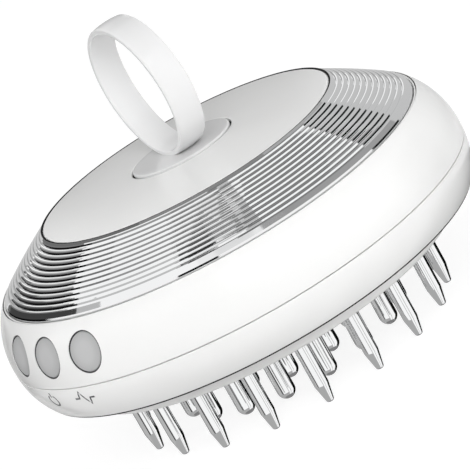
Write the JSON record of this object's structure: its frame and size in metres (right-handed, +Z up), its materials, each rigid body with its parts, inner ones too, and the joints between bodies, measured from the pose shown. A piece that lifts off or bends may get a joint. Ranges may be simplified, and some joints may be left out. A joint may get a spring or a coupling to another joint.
{
  "type": "electric scalp massager",
  "caption": "Round hand-held electric scalp massager with metal pins below, side push buttons, a ribbed metal trim ring and a swivelling finger ring on its lid.",
  "frame": {"origin": "centre of the circle of pins, on the plane of the pin tips that the massager stands on", "axes": "+Z up along the round housing's axis, -Y towards the middle button, +X to the right seen from the buttons"},
  "size_m": [0.092, 0.092, 0.0717],
  "materials": {
    "white_shell": "gloss",
    "ring_white": "gloss",
    "frosted_button": "satin",
    "chrome_trim": "mirror",
    "pin_chrome": "mirror",
    "steel": "satin",
    "brass": "satin",
    "inner_plastic": "matt",
    "dark_plastic": "matt",
    "flex_film": "gloss",
    "board": "satin",
    "cell_wrap": "gloss"
  },
  "bodies": {
    "housing": {"upper_shell": "white_shell", "lower_shell": "white_shell", "base_plate": "white_shell", "top_lid": "white_shell", "ribbed_trim_ring": "chrome_trim", "friction_washer": "dark_plastic", "switch_bracket": "inner_plastic", "switch_flex": "flex_film", "tact_switches": "dark_plastic", "long_pins": "pin_chrome", "middle_round_pins": "pin_chrome", "inner_round_pins": "pin_chrome", "contact_springs": "brass", "main_board": "board", "board_chips": "dark_plastic", "pulse_coil": "brass", "chassis": "inner_plastic", "battery_cell": "cell_wrap", "battery_strap": "steel", "motor_can": "steel", "motor_clamp": "inner_plastic", "charging_board": "board", "charging_socket": "steel", "housing_screws": "steel", "chassis_screws": "steel", "clamp_screws": "steel", "lid_screws": "steel"},
    "finger_ring_swivel": {"finger_ring": "ring_white", "swivel_base": "white_shell", "retaining_washer": "steel", "swivel_screw": "steel"},
    "power_button": {"power_button": "frosted_button"},
    "pulse_button": {"pulse_button": "frosted_button"},
    "level_button": {"level_button": "frosted_button"},
    "motor_rotor": {"motor_shaft": "steel", "eccentric_weight": "brass"}
  },
  "joints": [
    {"name": "ring_swivel", "type": "hinge", "parent": "housing", "child": "finger_ring_swivel", "pos_m": [0, 0, 0.0439], "axis": [0, 0, 1], "continuous": true},
    {"name": "power_button_press", "type": "slide", "parent": "housing", "child": "power_button", "axis": [0.2228, 0.9209, -0.32], "range_m": [0, 0.0005], "stiffness_N_per_m": 1600},
    {"name": "pulse_button_press", "type": "slide", "parent": "housing", "child": "pulse_button", "axis": [0, 0.9474, -0.32], "range_m": [0, 0.0005], "stiffness_N_per_m": 1600},
    {"name": "level_button_press", "type": "slide", "parent": "housing", "child": "level_button", "axis": [-0.2228, 0.9209, -0.32], "range_m": [0, 0.0005], "stiffness_N_per_m": 1600},
    {"name": "motor_spin", "type": "hinge", "parent": "housing", "child": "motor_rotor", "pos_m": [0.006, -0.008, 0.03], "axis": [1, 0, 0], "continuous": true}
  ]
}
